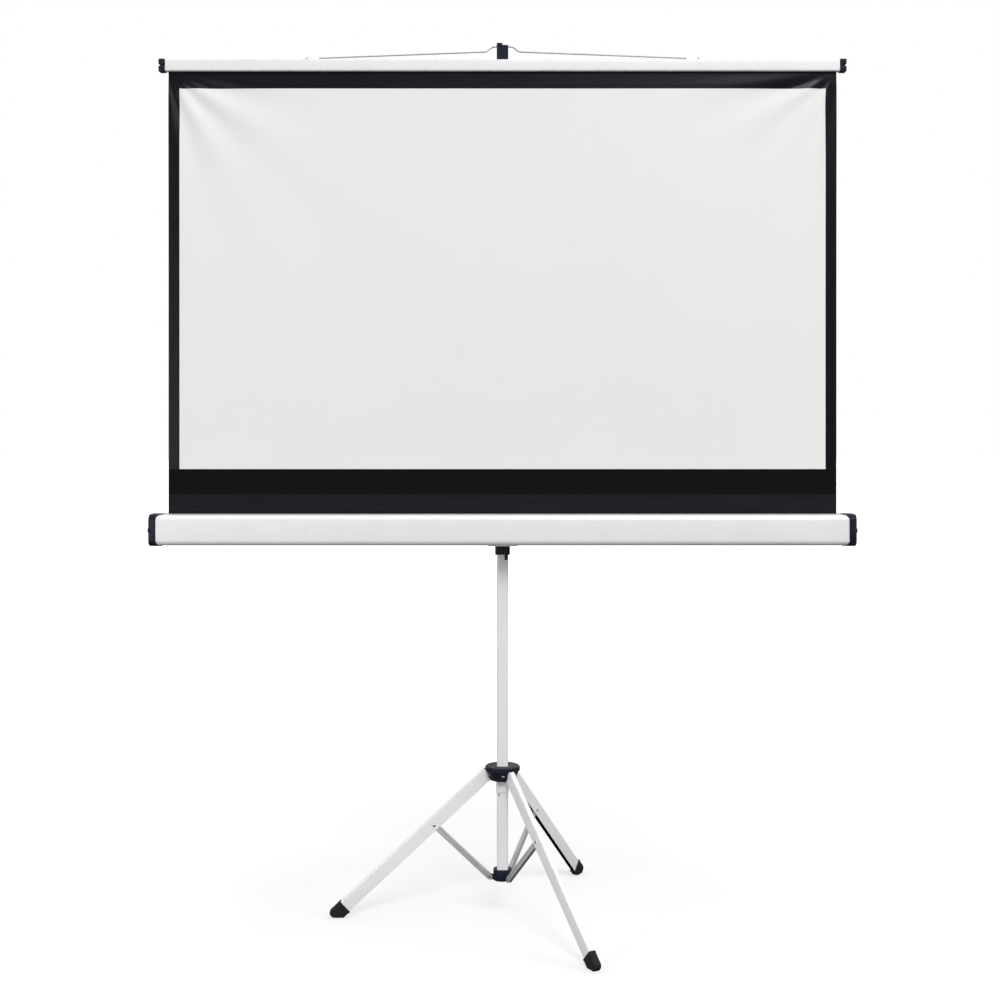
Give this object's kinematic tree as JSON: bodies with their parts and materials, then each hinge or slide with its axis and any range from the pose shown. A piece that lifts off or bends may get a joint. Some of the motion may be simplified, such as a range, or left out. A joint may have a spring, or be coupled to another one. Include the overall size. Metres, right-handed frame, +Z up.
{
  "type": "tripod projection screen",
  "caption": "Portable projection screen drawn up from a swivelling roller case to a hook on a telescopic post, standing on folding legs braced to a sliding hub.",
  "frame": {"origin": "on the floor, under the axis of the post", "axes": "+Z up, -Y towards the viewers, +X to the right as the viewers see it"},
  "size_m": [1.73, 0.7588, 2.183],
  "materials": {
    "white_enamel": "smooth white enamel on drawn steel",
    "grey_enamel": "satin grey primer on rolled steel",
    "black_plastic": "moulded black plastic, lightly textured",
    "black_rubber": "matt black rubber",
    "bright_steel": "bright zinc-plated steel",
    "zinc_steel": "dull zinc-plated steel",
    "screen_cloth": "matt white coated cloth with a black border and a black back",
    "rolled_cloth": "black back of the coated cloth"
  },
  "bodies": {
    "post": {"outer_post": "white_enamel", "bottom_collar": "black_plastic", "hub_stop_rivet": "bright_steel", "strut_lower_pin_left": "bright_steel", "strut_lower_pin_front": "bright_steel", "strut_lower_pin_back": "bright_steel", "height_lock_collar": "black_plastic"},
    "hub": {"hub": "black_plastic", "hub_sleeve": "white_enamel", "leg_pin_left": "bright_steel", "leg_pin_front": "bright_steel", "leg_pin_back": "bright_steel"},
    "leg_left": {"leg_left": "white_enamel", "foot_left": "black_rubber"},
    "leg_front": {"leg_front": "white_enamel", "foot_front": "black_rubber"},
    "leg_back": {"leg_back": "white_enamel", "foot_back": "black_rubber"},
    "strut_left": {"strut_left": "zinc_steel", "strut_upper_pin_left": "bright_steel"},
    "strut_front": {"strut_front": "zinc_steel", "strut_upper_pin_front": "bright_steel"},
    "strut_back": {"strut_back": "zinc_steel", "strut_upper_pin_back": "bright_steel"},
    "height_lever": {"height_lock_lever": "black_plastic"},
    "mid": {"mid_tube": "white_enamel", "mid_guide": "black_plastic", "case_bracket": "black_plastic", "swivel_washer": "bright_steel", "extension_lock_collar": "black_plastic"},
    "extension_lever": {"extension_lock_lever": "black_plastic"},
    "case": {"case_saddle": "white_enamel", "swivel_pin": "bright_steel", "case_shell": "white_enamel", "case_cap_left": "black_plastic", "case_cap_right": "black_plastic", "roller_plate_left": "bright_steel", "roller_plate_right": "bright_steel", "spring_shaft": "bright_steel", "roller_spring": "bright_steel", "screen_cloth": "screen_cloth"},
    "roller": {"roller_tube": "grey_enamel", "screen_roll": "rolled_cloth", "roller_plug_left": "black_plastic", "roller_plug_right": "black_plastic"},
    "slat": {"slat": "white_enamel", "slat_cap_left": "black_plastic", "slat_cap_right": "black_plastic", "hem_rod": "bright_steel", "bail_clip_left": "white_enamel", "bail_clip_right": "white_enamel"},
    "bail": {"bail_handle": "bright_steel"},
    "extension": {"extension_tube": "white_enamel", "extension_guide": "black_plastic", "hook_head": "black_plastic"}
  },
  "joints": [
    {"name": "hub_slide", "type": "slide", "parent": "post", "child": "hub", "axis": [0, 0, -1], "range_m": [-0.13, 0]},
    {"name": "leg_fold_left", "type": "hinge", "parent": "hub", "child": "leg_left", "pos_m": [-0.032, 0, 0.361], "axis": [0, -1, 0], "range_deg": [0, 45.1]},
    {"name": "leg_fold_front", "type": "hinge", "parent": "hub", "child": "leg_front", "pos_m": [0.016, -0.02771, 0.361], "axis": [0.866, 0.5, 0], "range_deg": [0, 45.1]},
    {"name": "leg_fold_back", "type": "hinge", "parent": "hub", "child": "leg_back", "pos_m": [0.016, 0.02771, 0.361], "axis": [-0.866, 0.5, 0], "range_deg": [0, 45.1]},
    {"name": "strut_fold_left", "type": "hinge", "parent": "post", "child": "strut_left", "pos_m": [-0.032, 0, 0.10184], "axis": [0, -1, 0], "range_deg": [-45.1, 0]},
    {"name": "strut_fold_front", "type": "hinge", "parent": "post", "child": "strut_front", "pos_m": [0.016, -0.02771, 0.10184], "axis": [0.866, 0.5, 0], "range_deg": [-45.1, 0]},
    {"name": "strut_fold_back", "type": "hinge", "parent": "post", "child": "strut_back", "pos_m": [0.016, 0.02771, 0.10184], "axis": [-0.866, 0.5, 0], "range_deg": [-45.1, 0]},
    {"name": "height_slide", "type": "slide", "parent": "post", "child": "mid", "axis": [0, 0, 1], "range_m": [0, 0.4]},
    {"name": "height_lever_flip", "type": "hinge", "parent": "post", "child": "height_lever", "pos_m": [0.009, -0.0188, 0.934], "axis": [-1, 0, 0], "range_deg": [0, 75]},
    {"name": "case_swivel", "type": "hinge", "parent": "mid", "child": "case", "pos_m": [0, -0.05, 0.956], "axis": [0, 1, 0], "range_deg": [-90, 0], "deforming": ["bail_handle"]},
    {"name": "extension_slide", "type": "slide", "parent": "mid", "child": "extension", "axis": [0, 0, 1], "range_m": [-0.82, 0]},
    {"name": "slat_slide", "type": "slide", "parent": "case", "child": "slat", "axis": [0, 0, 1], "range_m": [-0.82, 0], "deforming": ["screen_cloth"]},
    {"name": "roller_spin", "type": "hinge", "parent": "case", "child": "roller", "pos_m": [0, -0.082, 0.978], "axis": [1, 0, 0], "range_deg": [-2545, 0]},
    {"name": "bail_swing", "type": "hinge", "parent": "slat", "child": "bail", "pos_m": [0, -0.063, 2.141], "axis": [1, 0, 0], "range_deg": [0, 90]},
    {"name": "extension_lever_flip", "type": "hinge", "parent": "mid", "child": "extension_lever", "pos_m": [0, 0.0163, 1.303], "axis": [1, 0, 0], "range_deg": [0, 75]}
  ],
  "couplings": [
    {"joint": "leg_fold_left", "follows": "hub_slide", "rad_per_m": -6.0415},
    {"joint": "leg_fold_front", "follows": "hub_slide", "rad_per_m": -6.0415},
    {"joint": "leg_fold_back", "follows": "hub_slide", "rad_per_m": -6.0415},
    {"joint": "strut_fold_left", "follows": "hub_slide", "rad_per_m": 6.0415},
    {"joint": "strut_fold_front", "follows": "hub_slide", "rad_per_m": 6.0415},
    {"joint": "strut_fold_back", "follows": "hub_slide", "rad_per_m": 6.0415},
    {"joint": "slat_slide", "follows": "extension_slide", "ratio": 1},
    {"joint": "roller_spin", "follows": "extension_slide", "rad_per_m": 54.054}
  ]
}
